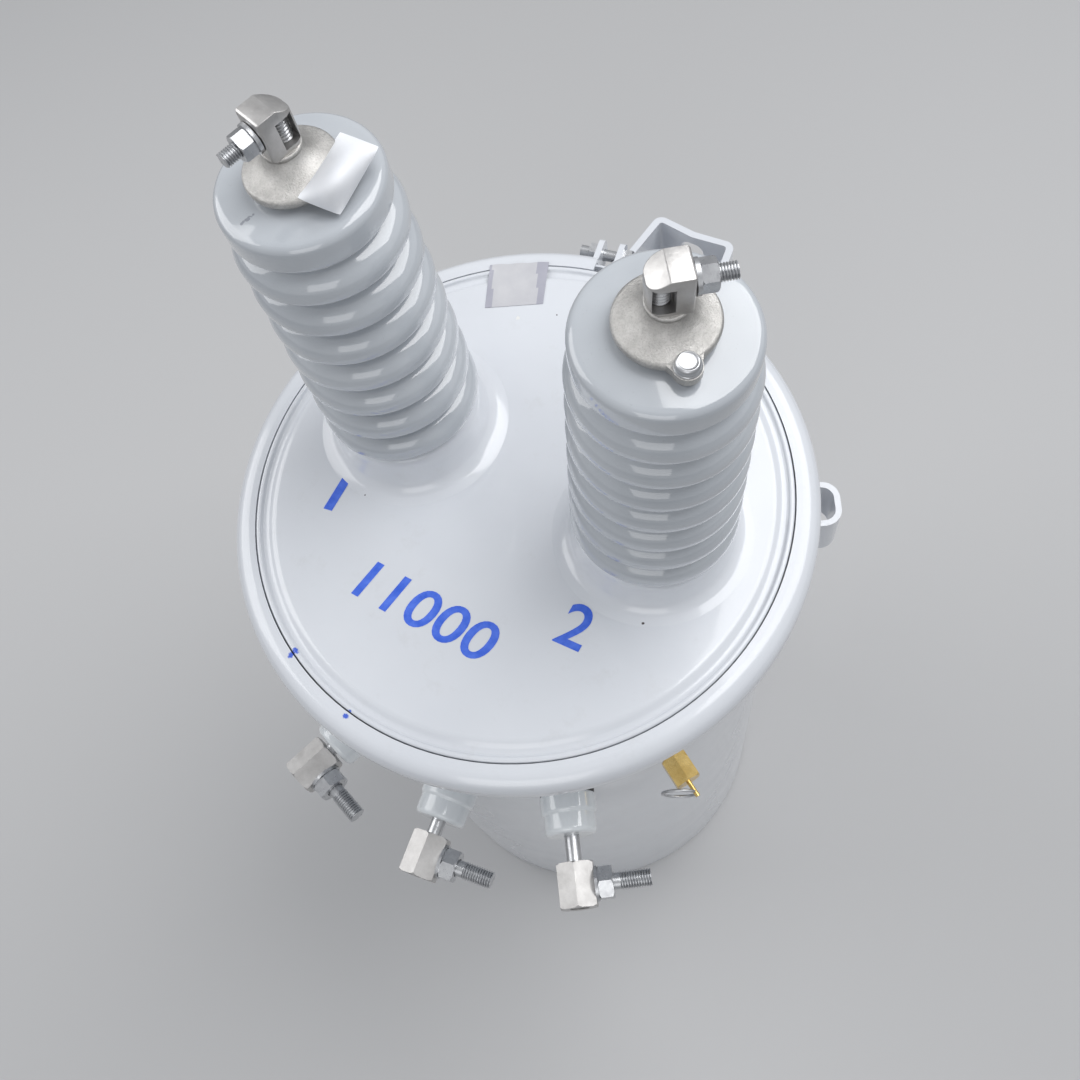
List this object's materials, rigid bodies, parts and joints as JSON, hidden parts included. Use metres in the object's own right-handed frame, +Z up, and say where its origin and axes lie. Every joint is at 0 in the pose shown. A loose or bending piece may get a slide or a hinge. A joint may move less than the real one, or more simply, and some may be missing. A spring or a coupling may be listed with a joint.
{
  "type": "oil-filled distribution transformer",
  "caption": "Pole-mounted oil-filled transformer: round painted tank with a clamped cover, shedded high-voltage bushings, low-voltage terminals, lifting lugs and pole brackets.",
  "frame": {"origin": "on the tank axis at the underside of the bottom plate, where the tank stands", "axes": "+Z up along the tank axis, -Y front with the low-voltage terminals, +Y back with the pole brackets, +X to the right-hand high-voltage bushing seen from the front"},
  "size_m": [0.38, 0.4883, 0.8926],
  "materials": {
    "tank_paint": "gloss warm white enamel on sheet steel",
    "rubber": "matte",
    "grey_glaze": "gloss blue grey glaze",
    "white_glaze": "gloss white glaze",
    "tinned_casting": "bright tinned casting",
    "plated_bolt": "zinc plated",
    "brass": "machined"
  },
  "bodies": {
    "root": {"band_bolt": "plated_bolt", "band_nut": "plated_bolt", "clamp_band": "tank_paint", "cover": "tank_paint", "cover_gasket": "rubber", "hv_bushing_left": "grey_glaze", "hv_bushing_right": "grey_glaze", "hv_cap_bolt_left": "plated_bolt", "hv_cap_bolt_right": "plated_bolt", "hv_cap_left": "tinned_casting", "hv_cap_right": "tinned_casting", "hv_connector_left": "tinned_casting", "hv_connector_right": "tinned_casting", "hv_eyebolt_left": "plated_bolt", "hv_eyebolt_right": "plated_bolt", "hv_gasket_left": "rubber", "hv_gasket_right": "rubber", "hv_nut_left": "plated_bolt", "hv_nut_right": "plated_bolt", "hv_stud_left": "plated_bolt", "hv_stud_right": "plated_bolt", "lifting_lug_left": "tank_paint", "lifting_lug_right": "tank_paint", "lv_bushing_1": "white_glaze", "lv_bushing_2": "white_glaze", "lv_bushing_3": "white_glaze", "lv_connector_1": "tinned_casting", "lv_connector_2": "tinned_casting", "lv_connector_3": "tinned_casting", "lv_eyebolt_1": "plated_bolt", "lv_eyebolt_2": "plated_bolt", "lv_eyebolt_3": "plated_bolt", "lv_gasket_1": "rubber", "lv_gasket_2": "rubber", "lv_gasket_3": "rubber", "lv_nut_1": "plated_bolt", "lv_nut_2": "plated_bolt", "lv_nut_3": "plated_bolt", "lv_stud_1": "plated_bolt", "lv_stud_2": "plated_bolt", "lv_stud_3": "plated_bolt", "pole_bracket_lower": "tank_paint", "pole_bracket_upper": "tank_paint", "relief_ring": "plated_bolt", "relief_valve": "brass", "tank_bottom": "tank_paint", "tank_rim": "tank_paint", "tank_shell": "tank_paint"}
  },
  "joints": []
}
